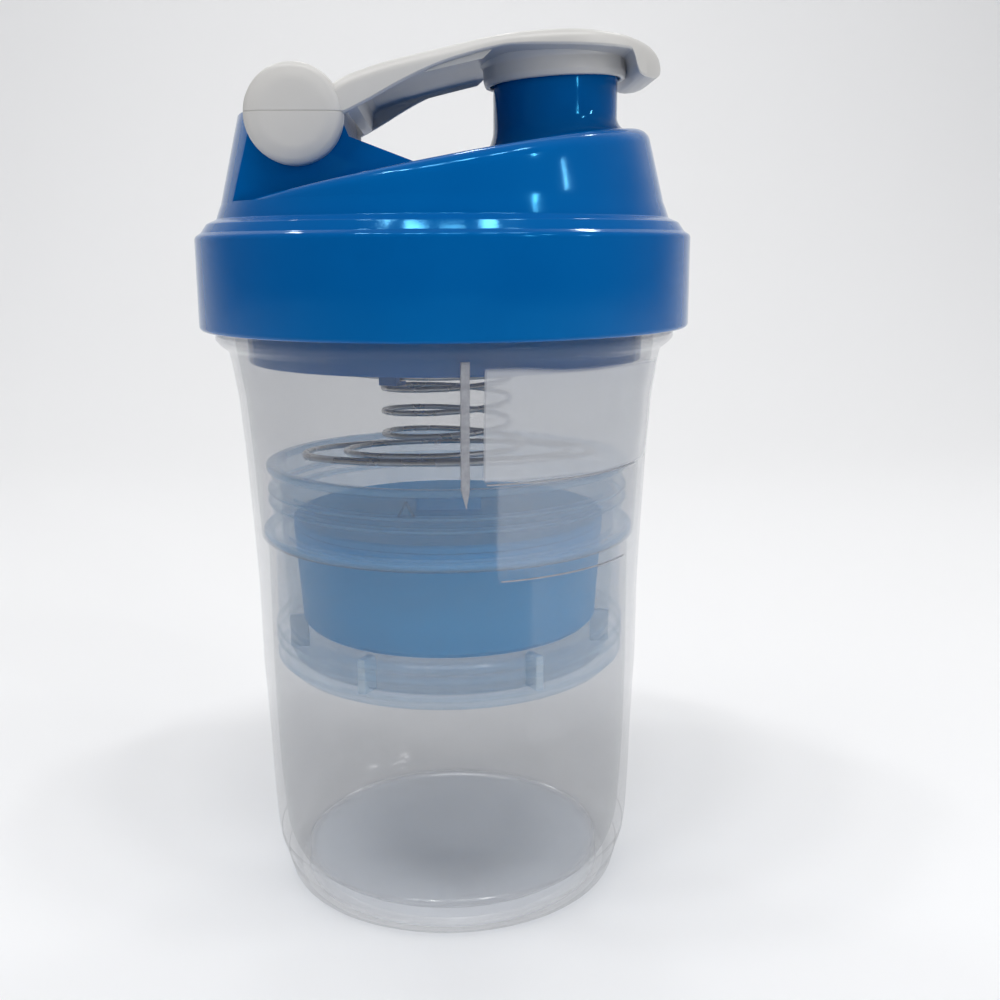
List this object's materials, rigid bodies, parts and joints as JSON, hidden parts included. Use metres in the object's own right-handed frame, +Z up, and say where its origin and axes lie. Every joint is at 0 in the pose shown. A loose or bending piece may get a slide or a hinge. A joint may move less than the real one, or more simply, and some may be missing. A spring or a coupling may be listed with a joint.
{
  "type": "protein shaker bottle",
  "caption": "Tapered translucent shaker cup with a screw lid, slanted spout, flip cap, hanging wire mixer spring and a nested storage jar with a covered tray.",
  "frame": {"origin": "centre of the base, on the surface the bottle stands on", "axes": "+Z up the bottle's axis, +X towards the spout, -X towards the flip cap's hinge"},
  "size_m": [0.1, 0.1, 0.175],
  "materials": {
    "clear_cup": "translucent polypropylene, smooth",
    "clear_jar": "translucent polypropylene, slightly hazy",
    "blue_plastic": "blue polypropylene, satin",
    "blue_gloss": "blue polypropylene, glossy",
    "white_plastic": "white polypropylene, satin",
    "pin_plastic": "white acetal",
    "soft_seal": "translucent silicone rubber",
    "spring_steel": "drawn stainless wire"
  },
  "bodies": {
    "cup": {"cup": "clear_cup"},
    "storage_jar": {"storage_jar": "clear_jar"},
    "pill_tray": {"pill_tray": "blue_plastic"},
    "tray_lid": {"tray_lid": "blue_plastic"},
    "lid_gasket": {"lid_gasket": "soft_seal"},
    "lid": {"lid_body": "blue_gloss", "hinge_pin": "pin_plastic", "spring_holder": "blue_gloss"},
    "flip_cap": {"flip_cap": "white_plastic", "spout_seal": "soft_seal"},
    "mixer_spring": {"mixer_spring": "spring_steel"}
  },
  "joints": [
    {"name": "lid_lift", "type": "slide", "parent": "cup", "child": "lid_gasket", "axis": [0, 0, 1], "range_m": [0, 0.144]},
    {"name": "lid_turn", "type": "hinge", "parent": "lid_gasket", "child": "lid", "pos_m": [0, 0, 0.1354], "axis": [0, 0, 1], "range_deg": [0, 1440.1]},
    {"name": "flip_cap_hinge", "type": "hinge", "parent": "lid", "child": "flip_cap", "pos_m": [-0.0271, 0, 0.1589], "axis": [0, -1, 0], "range_deg": [0, 118]},
    {"name": "mixer_squeeze", "type": "slide", "parent": "lid", "child": "mixer_spring", "axis": [0, 0, 1], "range_m": [0, 0.012], "stiffness_N_per_m": 120, "deforming": ["mixer_spring"]},
    {"name": "jar_lift", "type": "slide", "parent": "cup", "child": "storage_jar", "axis": [0, 0, 1], "range_m": [0, 0.0961]},
    {"name": "tray_lift", "type": "slide", "parent": "storage_jar", "child": "pill_tray", "axis": [0, 0, 1], "range_m": [0, 0.0361]},
    {"name": "tray_lid_lift", "type": "slide", "parent": "pill_tray", "child": "tray_lid", "axis": [0, 0, 1], "range_m": [0, 0.0121]}
  ],
  "couplings": [
    {"joint": "lid_turn", "follows": "lid_lift", "rad_per_m": 174.53},
    {"joint": "jar_lift", "follows": "lid_lift", "ratio": 0.66667},
    {"joint": "tray_lift", "follows": "lid_lift", "ratio": 0.25},
    {"joint": "tray_lid_lift", "follows": "lid_lift", "ratio": 0.083333}
  ]
}
